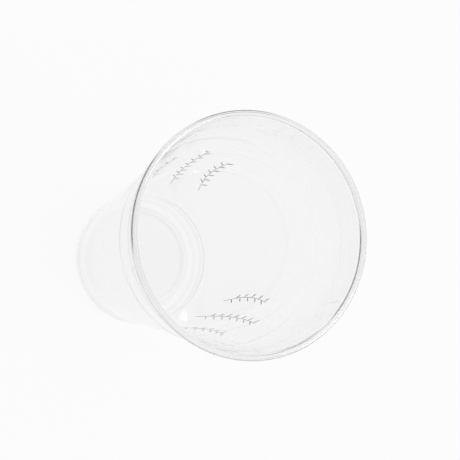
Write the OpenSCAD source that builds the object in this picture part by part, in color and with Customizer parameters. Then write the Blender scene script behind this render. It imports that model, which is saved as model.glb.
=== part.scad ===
// Clear cold-drink cup, thermoformed in one piece from a single sheet of plastic.
// It stands on its foot ring, mouth up. Millimetres, +Z up, origin under the middle of the foot.

/* [Overall] */
// Height from the foot ring to the top of the rolled rim
cup_h = 152; // [110:1:190]
// Outer diameter of the rolled rim, the size that a lid is sold by
rim_d = 98; // [80:0.5:120]
// Thickness of the formed sheet
sheet_t = 0.35; // [0.25:0.05:0.6]

/* [Rolled rim] */
// Thickness of the roll, from its outside to the inside of the mouth
roll_d = 2.7; // [2.2:0.1:4]
// Angle of the roll left open between its free edge and the outside of the neck
roll_open = 20; // [10:5:120]
// Thickness of the lip in the roll, where the sheet was held and not drawn
lip_t = 0.85; // [0.35:0.05:1]
// Angle of the roll over which the sheet thickens to the lip
lip_turn = 180; // [30:5:180]

/* [Lid neck] */
// Depth of the straight neck below the top of the rim
neck_h = 6.8; // [5:0.1:20]
// Width of the ledge that steps in from the neck to the wall
ledge_w = 0.2; // [0.2:0.05:1.5]
// Height over which the ledge steps in
ledge_h = 1.5; // [0.5:0.1:2]

/* [Wall grooves] */
// Depth of the upper band's middle below the ledge
band_drop = 8; // [5:0.2:12]
// How far the band stands into the cup
band_in = 0.15; // [0.1:0.05:0.6]
// Height of the band along the wall
band_h = 5.5; // [4:0.5:8]
// Depth of the stiffening rib's middle below the top of the rim
rib_drop = 35.4; // [28:0.2:60]
// How far the rib stands into the cup
rib_in = 0.15; // [0.1:0.05:1.2]
// Height of the rib along the wall
rib_h = 4; // [3:0.2:7]
// Height over which a groove steps in from the wall
groove_run = 1.2; // [0.6:0.1:1.4]

/* [Stacking heel] */
// Diameter of the heel where it is widest
heel_d = 60.5; // [54:0.5:72]
// Height of the heel where it is widest
heel_z = 4.2; // [3:0.1:7]
// Height of the waist where the tapered wall meets the heel band
waist_h = 11.5; // [9:0.5:25]
// How far the waist is drawn in from the widest heel, on the radius
waist_in = 0.65; // [0:0.1:1.2]

/* [Foot and panel] */
// Outer diameter of the flat foot ring
foot_d = 57.2; // [52:0.2:60]
// Inner diameter of the flat foot ring
foot_bore_d = 49.4; // [45:0.2:51]
// Diameter of the pushed-up panel inside the foot ring
panel_d = 43.4; // [24:0.2:46]
// Height of the panel's underside above the foot ring
panel_rise = 1.6; // [0.8:0.1:4]

/* [Rounding] */
// Rounding of the crisp corners, at the ledge, the grooves and the foot
crisp_r = 0.9; // [0.7:0.05:1.2]
// Rounding of the soft corners, at the heel and the waist
soft_r = 3; // [1.5:0.25:5]

/* [Hidden] */

// Steps in a rounded corner, in the roll and round the cup
CORNER_STEPS = 6;
ROLL_STEPS = 32;
ROUND_STEPS = 180;

// The roll: its outer radius, its centre and how far it turns
roll_r = roll_d / 2;
roll_c = [rim_d / 2 - roll_r, cup_h - roll_r];
roll_turn = 360 - acos((roll_r - sheet_t) / roll_r) - roll_open;

// The outside of the wall, from the waist up to the ledge
neck_r = roll_c[0] - roll_r + sheet_t;
wall_top = [neck_r - ledge_w, cup_h - neck_h];
waist = [heel_d / 2 - waist_in, waist_h];
wall_slope = (wall_top[0] - waist[0]) / (wall_top[1] - waist[1]);
band_z = wall_top[1] - band_drop;
rib_z = cup_h - rib_drop;

// Point on the outside of the tapered wall at height z
function on_wall(z) = [waist[0] + wall_slope * (z - waist[1]), z];

// Corners of a groove round the wall, from the lowest up
function groove(z, depth, tall) =
    let (low = z - tall / 2, high = z + tall / 2)
    [
        [on_wall(low), crisp_r],
        [on_wall(low + groove_run) - [depth, 0], crisp_r],
        [on_wall(high - groove_run) - [depth, 0], crisp_r],
        [on_wall(high), crisp_r]
    ];

// Corners of the sheet's outside, from the middle of the panel out and up to the roll,
// each with the radius that it is rounded to
corners = [
    [[0, panel_rise], 0],
    [[panel_d / 2, panel_rise], crisp_r],
    [[foot_bore_d / 2, 0], crisp_r],
    [[foot_d / 2, 0], crisp_r],
    [[heel_d / 2, heel_z], soft_r],
    [waist, soft_r],
    each groove(rib_z, rib_in, rib_h),
    each groove(band_z, band_in, band_h),
    [wall_top, crisp_r],
    [wall_top + [ledge_w, ledge_h], crisp_r],
    [[neck_r, roll_c[1]], 0]
];
last = len(corners) - 1;

function unit(v) = v / norm(v);
// Direction square to a run from a to b, on the side of the cup's inside
function inward(a, b) = let (u = unit(b - a)) [-u[1], u[0]];
// Which way the path turns at b: 1 towards the cup's inside, -1 away from it
function turn(a, b, c) = sign(inward(a, b) * (c - b));
// Shortest way round from angle a to angle b
function swing(a, b) = let (d = b - a) d > 180 ? d - 360 : d < -180 ? d + 360 : d;
function heading(v) = atan2(v[1], v[0]);
function arc(c, r, from, sweep, steps) =
    [for (i = [0:steps]) let (a = from + sweep * i / steps) c + r * [cos(a), sin(a)]];

// The corner at b rounded to radius most, or less on short walls, as the points of its arc
function rounded(a, b, c, most) =
    let (
        u = unit(a - b),
        v = unit(c - b),
        half = acos(u * v) / 2,
        r = min(most, tan(half) * min(norm(a - b), norm(c - b)) / 2),
        centre = b + unit(u + v) * r / sin(half),
        run = r / tan(half),
        from = heading(b + u * run - centre),
        to = heading(b + v * run - centre)
    )
    r > 0 ? arc(centre, r, from, swing(from, to), CORNER_STEPS) : [b];

// Corner i of the face that lies a depth d inside the sheet's outside
function corner_at(i, d) =
    let (p = corners[i][0])
    i == 0 ? p + d * inward(p, corners[1][0]) :
    i == last ? p + d * inward(corners[last - 1][0], p) :
    let (n = inward(corners[i - 1][0], p), m = inward(p, corners[i + 1][0]))
    p + d * (n + m) / (1 + n * m);

// Radius of corner i at depth d: it shrinks where the path turns towards the inside
function radius_at(i, d) =
    max(0, corners[i][1] - d * turn(corners[i - 1][0], corners[i][0], corners[i + 1][0]));

// Runs that are left at depth d, each by its end corner: one too short for the depth is used up
function runs_at(d) = [
    for (i = [1:last])
        if ((corner_at(i, d) - corner_at(i - 1, d)) * (corners[i][0] - corners[i - 1][0]) > 0) i
];

// Where runs i and j meet at depth d
function meet(i, j, d) =
    let (
        u = unit(corners[i][0] - corners[i - 1][0]),
        v = unit(corners[j][0] - corners[j - 1][0]),
        p = corners[i][0] + d * inward(corners[i - 1][0], corners[i][0]),
        q = corners[j][0] + d * inward(corners[j - 1][0], corners[j][0])
    )
    p + u * cross(q - p, v) / cross(u, v);

// One face of the sheet at depth d, from the axis to the start of the roll
function face_path(d) =
    let (
        runs = runs_at(d),
        count = len(runs),
        bends = [
            corner_at(0, d),
            for (k = [1:count - 1]) meet(runs[k - 1], runs[k], d),
            corner_at(last, d)
        ]
    )
    [
        bends[0],
        for (k = [1:count - 1])
            each rounded(bends[k - 1], bends[k], bends[k + 1], radius_at(runs[k] - 1, d))
    ];

// Thickness of the lip where the roll has turned by angle a
function lip_at(a) = sheet_t + (lip_t - sheet_t) * min(1, a / lip_turn);

// One face of the roll, from the neck over the top and round to its free edge:
// the outside of the roll at share 0 of the lip's thickness, its bore at share 1
function roll_path(share) = [
    for (i = [0:ROLL_STEPS])
        let (a = roll_turn * i / ROLL_STEPS)
        roll_c + (roll_r - share * lip_at(a)) * [-cos(a), sin(a)]
];

module sheet_section() {
    outside = concat(face_path(0), roll_path(1));
    inside = concat(face_path(sheet_t), roll_path(0));
    polygon(concat(outside, [for (i = [len(inside) - 1:-1:0]) inside[i]]));
}

module cup() {
    color([0.94, 0.95, 0.96, 0.35])
        rotate_extrude($fn = ROUND_STEPS)
            sheet_section();
}

cup();
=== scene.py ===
"""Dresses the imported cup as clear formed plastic, on a white floor under soft studio light."""

import logging
import math
from dataclasses import dataclass
from enum import Enum

import bpy
from mathutils import Matrix, Vector


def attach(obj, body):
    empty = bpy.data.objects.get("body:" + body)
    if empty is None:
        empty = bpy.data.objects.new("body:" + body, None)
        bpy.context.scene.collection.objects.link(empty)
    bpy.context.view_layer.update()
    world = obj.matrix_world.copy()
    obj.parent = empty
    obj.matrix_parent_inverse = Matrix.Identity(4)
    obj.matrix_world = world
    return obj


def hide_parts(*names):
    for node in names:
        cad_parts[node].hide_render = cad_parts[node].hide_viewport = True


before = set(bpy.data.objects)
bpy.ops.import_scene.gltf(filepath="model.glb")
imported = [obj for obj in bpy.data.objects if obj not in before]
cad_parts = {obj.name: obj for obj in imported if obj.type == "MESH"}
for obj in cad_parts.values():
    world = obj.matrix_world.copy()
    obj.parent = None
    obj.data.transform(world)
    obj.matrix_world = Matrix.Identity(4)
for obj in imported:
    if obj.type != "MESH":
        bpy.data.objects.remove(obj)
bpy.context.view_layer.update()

LOG = logging.getLogger("cup")
BODY = "root"
CUP_NODE = "cup"

MM = 0.001
WELD = 0.001 * MM
LEVEL_SLACK = 0.01 * MM
ORIGIN = (0.0, 0.0, 0.0)
UPRIGHT = (math.pi / 2, 0.0, 0.0)
WHITE = (1.0, 1.0, 1.0, 1.0)

Colour = tuple[float, float, float, float]
Axis = tuple[float, float, float]
Span = tuple[float, float]
Socket = bpy.types.NodeSocket
Values = dict[int | str, object]


class PrintedSide(Enum):
    """The two printed sides of the wall, each by the angle of its middle in degrees."""

    NEAR = 18.0
    FAR = 158.0


class LeafHand(Enum):
    """Which side of its stem a leaf grows on."""

    LEFT = -1
    RIGHT = 1


class NodeBoard:
    """Adds and links the nodes of one material or world."""

    def __init__(self, tree: bpy.types.NodeTree) -> None:
        """Keeps the tree and clears it."""
        self.tree = tree
        tree.nodes.clear()

    def add(self, kind: str, values: Values | None = None, **settings: object) -> bpy.types.Node:
        """Adds a node.

        Args:
            kind: The node's type.
            values: Input sockets by name or number, each with a constant or a socket to link from.
            **settings: The node's own options.

        Returns:
            The new node.
        """
        node = self.tree.nodes.new(kind)
        for name, value in settings.items():
            setattr(node, name, value)
        for key, value in (values or {}).items():
            if isinstance(value, bpy.types.NodeSocket):
                self.tree.links.new(value, node.inputs[key])
            else:
                node.inputs[key].default_value = value
        return node

    def math(self, operation: str, *terms: object) -> Socket:
        """Adds a Math node and returns its result."""
        return self.add("ShaderNodeMath", dict(enumerate(terms)), operation=operation).outputs[0]

    def vector(self, operation: str, *terms: object) -> Socket:
        """Adds a Vector Math node and returns its result."""
        node = self.add("ShaderNodeVectorMath", dict(enumerate(terms)), operation=operation)
        return node.outputs["Value" if operation in {"LENGTH", "DOT_PRODUCT", "DISTANCE"} else "Vector"]

    def gather(self, operation: str, terms: list[Socket]) -> Socket:
        """Takes a row of values together, two at a time.

        Args:
            operation: The Math operation between two values.
            terms: The values.

        Returns:
            The socket of the result.
        """
        result = terms[0]
        for term in terms[1:]:
            result = self.math(operation, result, term)
        return result

    def spread(self, value: Socket, reads: Span, gives: Span = (0.0, 1.0)) -> Socket:
        """Maps a value from one span to another with soft ends.

        Args:
            value: The socket to read.
            reads: The values that give the first and the second end of the new span.
            gives: The new span.

        Returns:
            The mapped socket.
        """
        values = {0: value, 1: reads[0], 2: reads[1], 3: gives[0], 4: gives[1]}
        return self.add("ShaderNodeMapRange", values, interpolation_type="SMOOTHSTEP").outputs[0]

    def mix(self, share: Socket, first: object, second: object) -> Socket:
        """Mixes two colours, each a constant or a socket, and returns the result."""
        return self.add("ShaderNodeMix", {0: share, 6: first, 7: second}, data_type="RGBA").outputs[2]

    def noise(self, place: Socket, scale: float, detail: float) -> Socket:
        """Adds a Noise Texture and returns its value."""
        return self.add("ShaderNodeTexNoise", {"Vector": place, "Scale": scale, "Detail": detail}).outputs[0]


def new_board(name: str) -> tuple[bpy.types.Material, NodeBoard]:
    """Makes an empty node material.

    Args:
        name: Name of the material.

    Returns:
        The material and its board.
    """
    material = bpy.data.materials.new(name)
    material.use_nodes = True
    return material, NodeBoard(material.node_tree)


def clear_selection() -> None:
    """Leaves edit mode and deselects every object."""
    if bpy.context.object and bpy.context.object.mode != "OBJECT":
        bpy.ops.object.mode_set(mode="OBJECT")
    bpy.ops.object.select_all(action="DESELECT")


def hold_only(piece: bpy.types.Object) -> None:
    """Selects one object and makes it the active one.

    Args:
        piece: The object.
    """
    clear_selection()
    piece.select_set(True)
    bpy.context.view_layer.objects.active = piece


def copy_of(pattern: bpy.types.Object) -> bpy.types.Object:
    """Copies a piece, with a mesh of its own.

    Args:
        pattern: The piece that is copied.

    Returns:
        The copy, which alone is selected.
    """
    hold_only(pattern)
    bpy.ops.object.duplicate(linked=False)
    return bpy.context.object


def remove(pattern: bpy.types.Object) -> None:
    """Deletes a pattern that has been copied."""
    hold_only(pattern)
    bpy.ops.object.delete()


def fix_place() -> None:
    """Applies the selected object's place, turn and scale to its mesh, which puts its origin back."""
    bpy.ops.object.transform_apply(location=True, rotation=True, scale=True)


def select_level(piece: bpy.types.Object, level: float) -> None:
    """Selects the points of a piece at one level, with the edges between them, and nothing else of it.

    Args:
        piece: The piece, in object mode.
        level: Height in metres.
    """
    mesh = piece.data
    for vertex in mesh.vertices:
        vertex.select = abs(vertex.co.z - level) < LEVEL_SLACK
    for edge in mesh.edges:
        edge.select = all(mesh.vertices[i].select for i in edge.vertices)
    for face in mesh.polygons:
        face.select = False


def give_material(piece: bpy.types.Object, material: bpy.types.Material) -> None:
    """Puts one material on the whole piece."""
    piece.data.materials.clear()
    piece.data.materials.append(material)


def report(piece: bpy.types.Object) -> None:
    """Logs a finished piece."""
    LOG.info("%s: %d faces", piece.name, len(piece.data.polygons))


def in_section(point: Vector) -> Axis:
    """A point of the cup's section in millimetres, as (reach, 0, level) in metres."""
    return (point.x * MM, 0.0, point.y * MM)


def window(half: float, soft: float) -> Span:
    """Cosines at the soft end and at the full end of a window of angles in degrees."""
    return math.cos(math.radians(half + soft)), math.cos(math.radians(half))


class CupSpot:
    """Where a point of the cup's surface lies, as sockets on a material's board."""

    def __init__(self, board: NodeBoard) -> None:
        """Reads the Object coordinates, and finds the way out from the axis and the place in the section.

        Args:
            board: Board of the material.
        """
        self.place = board.add("ShaderNodeTexCoord").outputs["Object"]
        self.level = board.add("ShaderNodeSeparateXYZ", {0: self.place}).outputs[2]
        flat = board.vector("MULTIPLY", self.place, (1.0, 1.0, 0.0))
        self.outward = board.vector("NORMALIZE", flat)
        reach = board.vector("LENGTH", flat)
        self.section = board.add("ShaderNodeCombineXYZ", {0: reach, 2: self.level}).outputs[0]


@dataclass(frozen=True)
class Arc:
    """A stretch of the way round the cup, by the angle of its middle round the axis. Angles in degrees."""

    middle: float
    half: float
    soft: float
    strength: float
    least: float = 0.0

    def share(self, board: NodeBoard, spot: CupSpot) -> Socket:
        """Finds the arc's strength, which fades to the least past its ends.

        Args:
            board: Board of the material.
            spot: Where the point lies.

        Returns:
            The strength's socket.
        """
        angle = math.radians(self.middle)
        close = board.vector("DOT_PRODUCT", spot.outward, (math.cos(angle), math.sin(angle), 0.0))
        return board.spread(close, window(self.half, self.soft), (self.least, self.strength))


@dataclass(frozen=True)
class PaintedLipReflection:
    """A painted reflection: a dark grey line along arcs of the thick lip, in place of the dark room that the
    lip would show. Angles in degrees, sizes in millimetres.

    turn is the line's place round the roll's section: 0 is straight out, 90 on top and 180 in the mouth.
    deep is how far under the roll's surface the line has ended and how far it is still full.
    """

    turn: float
    half: float
    soft: float
    arcs: tuple[Arc, ...]
    deep: Span = (0.25, 0.15)

    def share(self, board: NodeBoard, spot: CupSpot, cup: "Cup") -> Socket:
        """Finds how dark the painted reflection line is.

        Args:
            board: Board of the material.
            spot: Where the point lies.
            cup: The cup that the lip belongs to.

        Returns:
            The line's share of the colour, from 0 to 1.
        """
        angle = math.radians(self.turn)
        aim = (math.cos(angle), 0.0, math.sin(angle))
        spoke = board.vector("SUBTRACT", spot.section, in_section(cup.roll_centre))
        close = board.vector("DOT_PRODUCT", board.vector("NORMALIZE", spoke), aim)
        ended, full = ((cup.roll_radius - depth) * MM for depth in self.deep)
        line = board.math("MULTIPLY", board.spread(close, window(self.half, self.soft)),
                          board.spread(board.vector("LENGTH", spoke), (ended, full)))
        along = board.gather("MAXIMUM", [arc.share(board, spot) for arc in self.arcs])
        return board.math("MULTIPLY", line, along)


# Painted reflections on the lip: a line on its outside and one in the mouth, each strongest on its own arcs
# round the cup.
OUTER_PAINTED_REFLECTION = PaintedLipReflection(turn=36.0, half=10.0, soft=9.0, arcs=(
    Arc(middle=174.0, half=10.0, soft=16.0, strength=0.95),
    Arc(middle=242.0, half=17.0, soft=11.0, strength=1.0),
    Arc(middle=340.0, half=25.0, soft=25.0, strength=0.45),
))
INNER_PAINTED_REFLECTION = PaintedLipReflection(turn=174.0, half=16.0, soft=10.0, arcs=(
    Arc(middle=58.0, half=19.0, soft=9.0, strength=0.9),
    Arc(middle=12.0, half=6.0, soft=9.0, strength=0.7),
))


@dataclass(frozen=True)
class ClearSheet:
    """Clear formed plastic: smooth, with the faint waves and flow lines that forming leaves, painted
    reflection lines on the lip and painted shade rings at the foot's bends.

    Sizes are in millimetres. The scales of haze and waves are on metres.
    The flow lines' scale is on the direction from the axis, and flow_climb draws them out up the wall.
    rim_drops are the depths below the rim where the sheet starts to turn greyer and is greyest.
    """

    tint: Colour = (0.945, 0.945, 0.947, 1.0)
    rim_tint: Colour = (0.91, 0.91, 0.912, 1.0)
    rim_drops: Span = (42.0, 4.0)
    # Painted shade: dark rings at the foot's bends, each with its own strength, with their half width and the
    # arc round the cup where they are strongest.
    painted_bend_shade: Colour = (0.8, 0.8, 0.802, 1.0)
    panel_painted_shade: float = 0.4
    foot_painted_shade: float = 0.2
    heel_painted_shade: float = 0.6
    waist_painted_shade: float = 1.0
    painted_shade_half: float = 1.4
    painted_shade_arc: Arc = Arc(middle=78.5, half=45.6, soft=56.0, strength=1.0, least=0.1)
    # edge is the colour of the painted reflection lines on the lip, and lines holds those lines.
    edge: Colour = (0.13, 0.095, 0.102, 1.0)
    lines: tuple[PaintedLipReflection, ...] = (OUTER_PAINTED_REFLECTION, INNER_PAINTED_REFLECTION)
    ior: float = 1.57
    roughness: Span = (0.012, 0.045)
    haze_scale: float = 90.0
    haze_detail: float = 4.0
    haze_reads: Span = (0.45, 0.75)
    wave_scale: float = 55.0
    wave_detail: float = 1.0
    flow_scale: float = 9.0
    flow_detail: float = 3.0
    flow_climb: float = 6.0
    flow_part: float = 0.4
    bump_depth: float = 0.02

    def material(self, cup: "Cup") -> bpy.types.Material:
        """Builds the finish.

        Args:
            cup: The cup that gives the places of the lip and the bends.

        Returns:
            The clear material.
        """
        material, board = new_board("clear_sheet")
        spot = CupSpot(board)
        # The lip's painted reflection lines lay the dark edge colour over the sheet.
        lines = board.gather("MAXIMUM", [line.share(board, spot, cup) for line in self.lines])
        colour = board.mix(lines, self.sheet_colour(board, spot, cup), self.edge)
        haze = board.noise(spot.place, self.haze_scale, self.haze_detail)
        rough = board.spread(haze, self.haze_reads, self.roughness)
        shader = board.add("ShaderNodeBsdfPrincipled", {
            "Base Color": colour, "IOR": self.ior, "Roughness": rough, "Transmission Weight": 1.0,
            "Normal": self.waves(board, spot, cup)})
        board.add("ShaderNodeOutputMaterial", {"Surface": shader.outputs[0]})
        return material

    def below_roll(self, board: NodeBoard, spot: CupSpot, cup: "Cup") -> Socket:
        """Share that is 1 below the rim and fades to 0 at the roll."""
        reads = (cup.level_under_rim(self.rim_drops[1]), cup.level_under_rim(cup.roll))
        return board.spread(spot.level, reads, (1.0, 0.0))

    def waves(self, board: NodeBoard, spot: CupSpot, cup: "Cup") -> Socket:
        """Bumps the wall with soft waves and with flow lines that run up it.

        Args:
            board: Board of the material.
            spot: Where the point lies.
            cup: The cup that gives the place of the roll, which stays smooth.

        Returns:
            The normal's socket.
        """
        climb = board.math("MULTIPLY", spot.level, self.flow_climb)
        upward = board.add("ShaderNodeCombineXYZ", {2: climb}).outputs[0]
        flow = board.noise(board.vector("ADD", spot.outward, upward), self.flow_scale, self.flow_detail)
        wave = board.noise(spot.place, self.wave_scale, self.wave_detail)
        waves = board.math("ADD", wave, board.math("MULTIPLY", flow, self.flow_part))
        height = board.math("MULTIPLY", waves, self.below_roll(board, spot, cup))
        values = {"Strength": 1.0, "Distance": self.bump_depth * MM, "Height": height}
        return board.add("ShaderNodeBump", values).outputs[0]

    def sheet_colour(self, board: NodeBoard, spot: CupSpot, cup: "Cup") -> Socket:
        """Colours the sheet: greyer towards the rim, and with painted shade rings at the foot's bends,
        strongest on one side of the cup.

        Args:
            board: Board of the material.
            spot: Where the point lies.
            cup: The cup that gives the places of the rim and the bends.

        Returns:
            The colour's socket.
        """
        rim_reads = tuple(cup.level_under_rim(drop) for drop in self.rim_drops)
        rise = board.math("MULTIPLY", board.spread(spot.level, rim_reads), self.below_roll(board, spot, cup))
        plain = board.mix(rise, self.tint, self.rim_tint)
        # Painted shade: a dark ring round each bend of the foot, strongest on one side of the cup.
        bends = ((cup.panel_edge, self.panel_painted_shade), (cup.foot_edge, self.foot_painted_shade),
                 (cup.heel, self.heel_painted_shade), (cup.waist, self.waist_painted_shade))
        painted_shade_rings = []
        for corner, strength in bends:
            away = board.vector("DISTANCE", spot.section, in_section(corner))
            painted_shade_rings.append(board.spread(away, (0.0, self.painted_shade_half * MM), (strength, 0.0)))
        share = board.math("MULTIPLY", self.painted_shade_arc.share(board, spot), board.gather("ADD", painted_shade_rings))
        return board.mix(share, plain, self.painted_bend_shade)


@dataclass(frozen=True)
class PrintInk:
    """Dark grey print on the wall, a little thin and uneven. The bump's depth is in millimetres."""

    dark: Colour = (0.12, 0.12, 0.125, 1.0)
    worn: Colour = (0.28, 0.28, 0.285, 1.0)
    worn_reads: Span = (0.45, 0.7)
    roughness: Span = (0.35, 0.55)
    rough_reads: Span = (0.3, 0.7)
    grain_scale: float = 1400.0
    grain_detail: float = 3.0
    bump_strength: float = 0.6
    bump_depth: float = 0.006

    def material(self) -> bpy.types.Material:
        """Builds the finish.

        Returns:
            The ink material.
        """
        material, board = new_board("print_ink")
        place = board.add("ShaderNodeTexCoord").outputs["Object"]
        grain = board.noise(place, self.grain_scale, self.grain_detail)
        bump = board.add("ShaderNodeBump", {
            "Strength": self.bump_strength, "Distance": self.bump_depth * MM, "Height": grain})
        shader = board.add("ShaderNodeBsdfPrincipled", {
            "Base Color": board.mix(board.spread(grain, self.worn_reads), self.dark, self.worn),
            "Roughness": board.spread(grain, self.rough_reads, self.roughness),
            "Normal": bump.outputs[0]})
        board.add("ShaderNodeOutputMaterial", {"Surface": shader.outputs[0]})
        return material


@dataclass(frozen=True)
class WhiteFloor:
    """A white floor that still takes a shadow, and glows in a painted pool of light on the cup's bright side,
    which fades to a pale grey glow away from the cup. Sizes in metres.

    matt is the floor's colour for the light that it sends on, and shade the part of it that shows shadows.
    The painted pool of light is white out to the first of its two distances from its middle, and a full pale
    grey past the second.
    """

    matt: Colour = (0.9, 0.9, 0.9, 1.0)
    shade: Colour = (0.05, 0.05, 0.05, 1.0)
    glow: float = 0.93
    far_glow: float = 0.45
    painted_pool_middle: Axis = (0.13, 0.18, 0.0)
    painted_pool: Span = (0.345, 0.8)

    def material(self) -> bpy.types.Material:
        """Builds the finish.

        Returns:
            The floor material.
        """
        material, board = new_board("white_floor")
        path = board.add("ShaderNodeLightPath").outputs
        seen = board.gather("MAXIMUM", [path["Is Camera Ray"], path["Is Glossy Ray"],
                                        path["Is Transmission Ray"]])
        place = board.add("ShaderNodeTexCoord").outputs["Object"]
        # Painted pool of light: the floor's glow is white near the pool's middle and dims to a pale grey away
        # from it.
        away = board.vector("DISTANCE", place, self.painted_pool_middle)
        level = board.spread(away, self.painted_pool, (self.glow, self.far_glow))
        glow = board.add("ShaderNodeEmission", {"Strength": level}).outputs[0]
        shade = board.add("ShaderNodeBsdfDiffuse", {"Color": self.shade}).outputs[0]
        white = board.add("ShaderNodeAddShader", {0: shade, 1: glow}).outputs[0]
        matt = board.add("ShaderNodeBsdfDiffuse", {"Color": self.matt}).outputs[0]
        both = board.add("ShaderNodeMixShader", {0: seen, 1: matt, 2: white}).outputs[0]
        board.add("ShaderNodeOutputMaterial", {"Surface": both})
        return material


@dataclass
class Cup:
    """The cup's formed sheet, drawn as its section and spun round the axis.

    Sizes are in millimetres and angles in degrees. A point of the section is (reach, level).
    """

    height: float = 152.0
    rim_diameter: float = 98.0
    sheet: float = 0.35
    roll: float = 2.7
    roll_open: float = 20.0
    lip: float = 0.85
    lip_turn: float = 180.0
    neck: float = 6.8
    ledge_width: float = 0.2
    ledge_height: float = 1.5
    band_drop: float = 14.8
    band_in: float = 0.15
    band_height: float = 5.5
    rib_drop: float = 35.4
    rib_in: float = 0.15
    rib_height: float = 4.0
    groove_run: float = 1.2
    heel_diameter: float = 60.5
    heel_height: float = 4.2
    waist_height: float = 11.5
    waist_in: float = 0.65
    foot_diameter: float = 57.2
    foot_bore: float = 49.4
    panel_diameter: float = 43.4
    panel_rise: float = 1.6
    crisp: float = 0.9
    soft: float = 3.0
    ledge_round: float = 8.0
    corner_step: float = 12.0
    roll_steps: int = 28
    round_steps: int = 480
    smooth_angle: float = 50.0
    piece: bpy.types.Object | None = None

    @property
    def roll_radius(self) -> float:
        """Outer radius of the roll."""
        return self.roll / 2

    @property
    def roll_centre(self) -> Vector:
        """Centre of the roll."""
        return Vector((self.rim_diameter / 2 - self.roll_radius, self.height - self.roll_radius))

    @property
    def wall_top(self) -> Vector:
        """Upper end of the tapered wall, on its outside."""
        neck = self.roll_centre.x - self.roll_radius + self.sheet
        return Vector((neck - self.ledge_width, self.height - self.neck))

    @property
    def waist(self) -> Vector:
        """Lower end of the tapered wall, on its outside."""
        return Vector((self.heel_diameter / 2 - self.waist_in, self.waist_height))

    @property
    def heel(self) -> Vector:
        """Widest point of the stacking heel."""
        return Vector((self.heel_diameter / 2, self.heel_height))

    @property
    def foot_edge(self) -> Vector:
        """Inner edge of the flat foot ring."""
        return Vector((self.foot_bore / 2, 0.0))

    @property
    def panel_edge(self) -> Vector:
        """Edge of the pushed-up panel."""
        return Vector((self.panel_diameter / 2, self.panel_rise))

    def level_under_rim(self, drop: float) -> float:
        """Level in metres of a place that lies a drop in millimetres below the top of the rim."""
        return (self.height - drop) * MM

    def on_wall(self, level: float) -> Vector:
        """Point on the outside of the tapered wall at a level in millimetres."""
        return self.waist.lerp(self.wall_top, (level - self.waist.y) / (self.wall_top.y - self.waist.y))

    def corners(self) -> list[tuple[Vector, float]]:
        """Corners of the sheet's outside, from the middle of the panel to the roll.

        Returns:
            Each corner with the radius that it is rounded to.
        """
        ledge = self.wall_top + Vector((self.ledge_width, self.ledge_height))
        return [
            (Vector((0.0, self.panel_rise)), 0.0),
            (self.panel_edge, self.crisp),
            (self.foot_edge, self.crisp),
            (Vector((self.foot_diameter / 2, 0.0)), self.crisp),
            (self.heel, self.soft),
            (self.waist, self.soft),
            *self.groove(self.rib_drop, self.rib_in, self.rib_height),
            *self.groove(self.band_drop, self.band_in, self.band_height),
            (self.wall_top, self.crisp),
            (ledge, self.ledge_round),
            (Vector((ledge.x, self.roll_centre.y)), 0.0),
        ]

    def groove(self, drop: float, depth: float, tall: float) -> list[tuple[Vector, float]]:
        """Corners of a shallow groove round the wall.

        Args:
            drop: Depth of its middle below the top of the rim.
            depth: How far it stands into the cup.
            tall: Its height along the wall.

        Returns:
            Its four corners from the lowest up, each with its rounding.
        """
        middle, inset = self.height - drop, Vector((depth, 0.0))
        low, high = middle - tall / 2, middle + tall / 2
        return [
            (self.on_wall(low), self.crisp),
            (self.on_wall(low + self.groove_run) - inset, self.crisp),
            (self.on_wall(high - self.groove_run) - inset, self.crisp),
            (self.on_wall(high), self.crisp),
        ]

    def rounded(self, before: Vector, corner: Vector, after: Vector, radius: float) -> list[Vector]:
        """Rounds one corner.

        Args:
            before: The corner before it.
            corner: The corner itself.
            after: The corner after it.
            radius: Radius of the rounding.

        Returns:
            The points of the arc.
        """
        back, ahead = (before - corner).normalized(), (after - corner).normalized()
        half = back.angle(ahead) / 2
        centre = corner + (back + ahead).normalized() * radius / math.sin(half)
        start = corner + back * radius / math.tan(half) - centre
        end = corner + ahead * radius / math.tan(half) - centre
        sweep = math.atan2(start.x * end.y - start.y * end.x, start.dot(end))
        steps = max(2, math.ceil(abs(sweep) / math.radians(self.corner_step)))
        return [centre + Matrix.Rotation(sweep * i / steps, 2) @ start for i in range(steps + 1)]

    def face(self, depth: float) -> list[Vector]:
        """Draws one face of the sheet, from the axis to the roll.

        Args:
            depth: How far the face lies inside the sheet's outside.

        Returns:
            The points of the line, in millimetres.
        """
        corners = self.corners()
        places = [place for place, _ in corners]
        runs = [ahead - here for here, ahead in zip(places, places[1:])]
        sides = [Vector((-run.y, run.x)).normalized() for run in runs]
        moved = [places[0] + sides[0] * depth]
        for place, low, high in zip(places[1:], sides, sides[1:]):
            moved.append(place + (low + high) * depth / (1.0 + low.dot(high)))
        moved.append(places[-1] + sides[-1] * depth)
        line = [moved[0]]
        for i, (low, high) in enumerate(zip(sides, sides[1:]), start=1):
            bend = math.copysign(1.0, low.x * high.y - low.y * high.x)
            line += self.rounded(moved[i - 1], moved[i], moved[i + 1], corners[i][1] - bend * depth)
        return line

    def roll_face(self, thinned: float) -> list[Vector]:
        """Draws one face of the roll, from the neck over the top and round to its free edge.

        Args:
            thinned: 0 for the outside of the roll, 1 for its bore, where the sheet thickens to the lip.

        Returns:
            The points of the line, in millimetres.
        """
        neck = math.degrees(math.acos((self.roll_radius - self.sheet) / self.roll_radius))
        sweep = 360.0 - self.roll_open - neck
        line = []
        for i in range(self.roll_steps + 1):
            turn = sweep * i / self.roll_steps
            wall = self.sheet + (self.lip - self.sheet) * min(1.0, turn / self.lip_turn)
            angle = math.radians(180.0 - turn)
            spoke = Vector((math.cos(angle), math.sin(angle)))
            line.append(self.roll_centre + spoke * (self.roll_radius - thinned * wall))
        return line

    def section(self) -> list[Vector]:
        """Draws the sheet's section: its outside, round the free edge of the roll and back along its inside.

        Returns:
            The points of the line, in millimetres.
        """
        outside = self.face(0.0) + self.roll_face(1.0)
        inside = self.face(self.sheet) + self.roll_face(0.0)
        return outside + inside[::-1]

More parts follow.
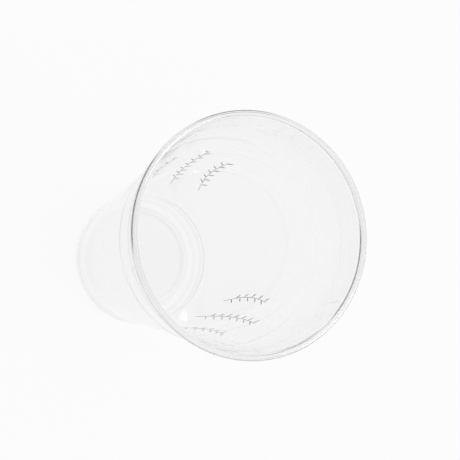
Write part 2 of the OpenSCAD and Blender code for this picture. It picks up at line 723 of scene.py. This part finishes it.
    def build(self) -> bpy.types.Object:
        """Draws the section by extruding a point along it, and spins it round the axis.

        Returns:
            The cup's piece.
        """
        line = [point * MM for point in self.section()]
        clear_selection()
        bpy.ops.mesh.primitive_plane_add(size=MM)
        self.piece = bpy.context.object
        self.piece.name = self.piece.data.name = "cup_sheet"
        bpy.ops.object.mode_set(mode="EDIT")
        bpy.ops.mesh.select_all(action="SELECT")
        bpy.ops.mesh.merge(type="CENTER")
        bpy.ops.transform.translate(value=(line[0].x, 0.0, line[0].y))
        for here, ahead in zip(line, line[1:]):
            step = ahead - here
            bpy.ops.mesh.extrude_region_move(TRANSFORM_OT_translate={"value": (step.x, 0.0, step.y)})
        bpy.ops.mesh.select_all(action="SELECT")
        bpy.ops.mesh.spin(steps=self.round_steps, angle=math.tau, center=ORIGIN, axis=(0.0, 0.0, 1.0))
        bpy.ops.mesh.select_all(action="SELECT")
        bpy.ops.mesh.remove_doubles(threshold=WELD)
        bpy.ops.mesh.normals_make_consistent(inside=False)
        bpy.ops.object.mode_set(mode="OBJECT")
        bpy.ops.object.shade_smooth_by_angle(angle=math.radians(self.smooth_angle))
        return self.piece

    def dress(self, finish: ClearSheet) -> None:
        """Puts the finish on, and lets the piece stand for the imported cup.

        Args:
            finish: The sheet's finish.
        """
        give_material(self.piece, finish.material(self))
        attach(self.piece, BODY)
        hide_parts(CUP_NODE)


@dataclass
class Sprig:
    """One printed stem with slim leaves, laid on the outside of the wall.

    Sizes are in millimetres and angles in degrees.
    sway is the stretch of a sine, in radians, that the stem leans along.
    bare_part is the share of the stem below the leaves.
    """

    cup: Cup
    shift: float
    foot: float
    tall: float
    leaves: int
    stroke: float = 0.2
    lean: float = 4.0
    sway: float = 2.4
    bare_part: float = 0.12
    leaf_long: float = 3.6
    leaf_wide: float = 0.6
    leaf_tilt: float = 38.0
    leaf_points: int = 16
    stem_steps: int = 24
    proud: float = 0.03
    sunk: float = 0.06
    piece: bpy.types.Object | None = None

    def build(self) -> bpy.types.Object:
        """Draws the stem and the leaves flat, and wraps them round the wall, at no turn round the axis.

        Returns:
            The sprig.
        """
        stem = self.draw_stem()
        pattern = self.draw_leaf()
        leaves = [self.place_leaf(pattern, number) for number in range(self.leaves)]
        remove(pattern)
        hold_only(stem)
        for leaf in leaves:
            leaf.select_set(True)
        bpy.ops.object.join()
        self.piece = stem
        self.wrap()
        self.thicken()
        return self.piece

    def stem_at(self, share: float) -> Vector:
        """Middle of the stem at a share of its height, in the flat drawing, in metres."""
        return Vector((self.lean * math.sin(share * self.sway), self.foot + self.tall * share)) * MM

    def draw_stem(self) -> bpy.types.Object:
        """Draws the stem as a strip that is extruded upwards step by step.

        Returns:
            The flat stem.
        """
        start = self.stem_at(0.0)
        clear_selection()
        bpy.ops.mesh.primitive_plane_add(size=self.stroke * MM, location=(start.x, 0.0, start.y),
                                         rotation=UPRIGHT)
        stem = bpy.context.object
        fix_place()
        select_level(stem, start.y + self.stroke * MM / 2)
        bpy.ops.object.mode_set(mode="EDIT")
        for i in range(self.stem_steps):
            step = self.stem_at((i + 1) / self.stem_steps) - self.stem_at(i / self.stem_steps)
            bpy.ops.mesh.extrude_region_move(TRANSFORM_OT_translate={"value": (step.x, 0.0, step.y)})
        bpy.ops.object.mode_set(mode="OBJECT")
        return stem

    def draw_leaf(self) -> bpy.types.Object:
        """Draws one leaf that stands on the origin: a disc drawn out to its size and pinched to its tips.

        Returns:
            The flat leaf, a pattern for the others.
        """
        clear_selection()
        bpy.ops.mesh.primitive_circle_add(vertices=self.leaf_points, radius=MM / 2, fill_type="NGON",
                                          location=(0.0, 0.0, MM / 2), rotation=UPRIGHT)
        leaf = bpy.context.object
        fix_place()
        leaf.scale = (self.leaf_wide, 1.0, self.leaf_long)
        fix_place()
        for row in range(1, self.leaf_points // 2):
            share = (1.0 - math.cos(math.tau * row / self.leaf_points)) / 2
            pinch = math.sqrt(math.sin(math.pi * share))
            select_level(leaf, share * self.leaf_long * MM)
            bpy.ops.object.mode_set(mode="EDIT")
            bpy.ops.transform.resize(value=(pinch, 1.0, 1.0), center_override=ORIGIN)
            bpy.ops.object.mode_set(mode="OBJECT")
        return leaf

    def place_leaf(self, pattern: bpy.types.Object, number: int) -> bpy.types.Object:
        """Copies the leaf to its place on the stem.

        Args:
            pattern: The leaf that is copied.
            number: Place of the leaf, counted from the foot of the stem.

        Returns:
            The copy.
        """
        leaf = copy_of(pattern)
        hand = LeafHand.RIGHT if number % 2 else LeafHand.LEFT
        root = self.stem_at(self.bare_part + (1.0 - self.bare_part) * (number + 0.5) / self.leaves)
        leaf.location = (root.x, 0.0, root.y)
        leaf.rotation_euler = (0.0, math.radians(self.leaf_tilt) * hand.value, 0.0)
        fix_place()
        return leaf

    def wrap(self) -> None:
        """Bends the flat drawing round the wall, sunk a little into the sheet."""
        for vertex in self.piece.data.vertices:
            level = vertex.co.z / MM
            radius = self.cup.on_wall(level).x
            turn = (vertex.co.x / MM + self.shift) / radius
            out = radius - self.sunk
            vertex.co = Vector((out * math.cos(turn), out * math.sin(turn), level)) * MM

    def thicken(self) -> None:
        """Gives the ink its body, from inside the sheet to a little proud of it."""
        hold_only(self.piece)
        bpy.ops.object.mode_set(mode="EDIT")
        bpy.ops.mesh.select_all(action="SELECT")
        bpy.ops.mesh.remove_doubles(threshold=WELD)
        bpy.ops.mesh.normals_make_consistent(inside=False)
        bpy.ops.object.mode_set(mode="OBJECT")
        bpy.ops.object.modifier_add(type="SOLIDIFY")
        film = self.piece.modifiers[-1]
        film.thickness = (self.sunk + self.proud) * MM
        film.offset = 1.0
        bpy.ops.object.modifier_apply(modifier=film.name)


@dataclass
class WallPrint:
    """The print on the wall: three sprigs side by side, on each printed side."""

    cup: Cup

    def sprigs(self) -> tuple[Sprig, ...]:
        """Lays out the sprigs of one side, the tallest in the middle.

        Returns:
            The sprigs.
        """
        return (
            Sprig(self.cup, shift=-12.0, foot=42.0, tall=44.0, leaves=11),
            Sprig(self.cup, shift=0.0, foot=36.0, tall=58.0, leaves=14),
            Sprig(self.cup, shift=12.0, foot=46.0, tall=40.0, leaves=10),
        )

    def build(self, finish: PrintInk) -> list[bpy.types.Object]:
        """Draws each sprig once, inks it and copies it to both sides.

        Args:
            finish: The ink.

        Returns:
            The printed pieces.
        """
        ink = finish.material()
        patterns = [sprig.build() for sprig in self.sprigs()]
        pieces = []
        for pattern in patterns:
            give_material(pattern, ink)
        for side in PrintedSide:
            for number, pattern in enumerate(patterns):
                pieces.append(self.place(pattern, side, number))
        for pattern in patterns:
            remove(pattern)
        return pieces

    def place(self, pattern: bpy.types.Object, side: PrintedSide, number: int) -> bpy.types.Object:
        """Copies a sprig to one side, and lets it ride with the cup.

        Args:
            pattern: The sprig that is copied.
            side: The side that it goes to.
            number: Its place on that side.

        Returns:
            The copy.
        """
        piece = copy_of(pattern)
        piece.name = piece.data.name = f"sprig_{side.name.lower()}_{number}"
        piece.rotation_euler = (0.0, 0.0, math.radians(side.value))
        fix_place()
        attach(piece, BODY)
        return piece


@dataclass
class Floor:
    """The plain floor that the cup stands on. Size in metres."""

    size: float = 8.0
    piece: bpy.types.Object | None = None

    def build(self) -> bpy.types.Object:
        """Lays the floor.

        Returns:
            The floor.
        """
        clear_selection()
        bpy.ops.mesh.primitive_plane_add(size=self.size)
        self.piece = bpy.context.object
        self.piece.name = self.piece.data.name = "floor"
        return self.piece

    def dress(self, finish: WhiteFloor) -> None:
        """Paints the floor."""
        give_material(self.piece, finish.material())


@dataclass
class Studio:
    """The room, bright on one side and dim on the other, and its far key lamp.

    turned gives how far a direction points to the bright side, as cosines, where the room is dim and bright.
    bounces is high because light runs far inside the thin sheet, and glint_limit keeps its stray glints calm.
    """

    dim: float = 0.3
    bright: float = 0.95
    bright_side: Axis = (0.57, 0.7, 0.43)
    turned: Span = (-0.2, 0.5)
    key_side: Axis = (0.46, 0.59, 0.66)
    key_angle: float = 30.0
    key_power: float = 1.0
    bounces: int = 300
    glint_limit: float = 2.5

    def build(self) -> None:
        """Lights the room and sets how light is followed and shown."""
        scene = bpy.context.scene
        scene.world = self.make_world()
        self.add_key()
        scene.view_settings.view_transform = "Standard"
        scene.cycles.sample_clamp_indirect = self.glint_limit
        scene.cycles.max_bounces = self.bounces
        scene.cycles.transmission_bounces = self.bounces
        scene.cycles.glossy_bounces = self.bounces

    def make_world(self) -> bpy.types.World:
        """Makes the white room.

        Returns:
            The world.
        """
        world = bpy.data.worlds.new("studio")
        world.use_nodes = True
        board = NodeBoard(world.node_tree)
        way = board.add("ShaderNodeTexCoord").outputs["Generated"]
        facing = board.vector("DOT_PRODUCT", way, self.bright_side)
        level = board.spread(facing, self.turned, (self.dim, self.bright))
        room = board.add("ShaderNodeBackground", {"Color": WHITE, "Strength": level})
        board.add("ShaderNodeOutputWorld", {"Surface": room.outputs[0]})
        return world

    def add_key(self) -> bpy.types.Object:
        """Adds the key lamp, far enough to light the floor evenly.

        Returns:
            The lamp.
        """
        clear_selection()
        bpy.ops.object.light_add(type="SUN", location=self.key_side)
        lamp = bpy.context.object
        lamp.name = lamp.data.name = "key"
        lamp.data.angle = math.radians(self.key_angle)
        lamp.data.energy = self.key_power
        lamp.rotation_euler = (-lamp.location).to_track_quat("-Z", "Y").to_euler()
        return lamp


@dataclass
class PhotoCamera:
    """The camera of the photograph: long lens, high above the mouth and rolled on its side.

    Place and clip are in metres, lens and sensor in millimetres, angles in degrees.
    """

    place: Axis = (-0.003726, -0.253371, 0.798198)
    elevation: float = 69.2614
    roll: float = 77.1255
    lens: float = 140.1
    sensor: float = 36.0
    clip: Span = (0.01, 50.0)

    def build(self) -> bpy.types.Object:
        """Adds the camera and makes it the scene's.

        Returns:
            The camera.
        """
        clear_selection()
        bpy.ops.object.camera_add(location=self.place)
        camera = bpy.context.object
        camera.name = camera.data.name = "photo_camera"
        camera.data.lens = self.lens
        camera.data.sensor_width = self.sensor
        camera.data.sensor_fit = "HORIZONTAL"
        camera.data.clip_start, camera.data.clip_end = self.clip
        tip = Matrix.Rotation(math.radians(90.0 - self.elevation), 4, "X")
        turn = Matrix.Rotation(math.radians(self.roll), 4, "Z")
        camera.rotation_euler = (tip @ turn).to_euler()
        bpy.context.scene.camera = camera
        return camera


def main() -> None:
    """Builds the camera, the cup, its print, the floor and the light, in that order."""
    logging.basicConfig(level=logging.INFO, format="%(name)s: %(message)s")
    PhotoCamera().build()
    cup = Cup()
    report(cup.build())
    cup.dress(ClearSheet())
    for piece in WallPrint(cup).build(PrintInk()):
        report(piece)
    floor = Floor()
    report(floor.build())
    floor.dress(WhiteFloor())
    Studio().build()


if __name__ == "__main__":
    main()
